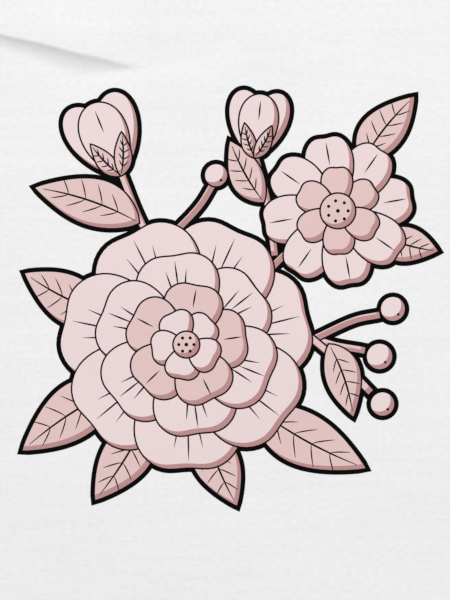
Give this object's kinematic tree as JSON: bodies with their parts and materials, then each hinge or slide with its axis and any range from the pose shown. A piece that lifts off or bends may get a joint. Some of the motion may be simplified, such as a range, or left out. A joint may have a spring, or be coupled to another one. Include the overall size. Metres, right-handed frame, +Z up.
{
  "type": "printed t-shirt",
  "caption": "White short-sleeved T-shirt with a rib collar and a chest print, laid flat on its back with a soft crease across the chest.",
  "frame": {"origin": "on the table under the shirt, at the centre of its bounding box", "axes": "+X across the shirt towards the sleeve on the right as seen from above, +Y from the hem to the collar, +Z up from the table"},
  "size_m": [0.8072, 0.7352, 0.0098],
  "materials": {
    "cotton_jersey": "matte single jersey",
    "rib_knit": "matte one-by-one rib knit",
    "neck_tape": "matte twill tape"
  },
  "bodies": {
    "root": {"front_panel": "cotton_jersey", "back_panel": "cotton_jersey", "sleeve_left": "cotton_jersey", "sleeve_right": "cotton_jersey", "collar_rib": "rib_knit", "neck_tape": "neck_tape"}
  },
  "joints": []
}
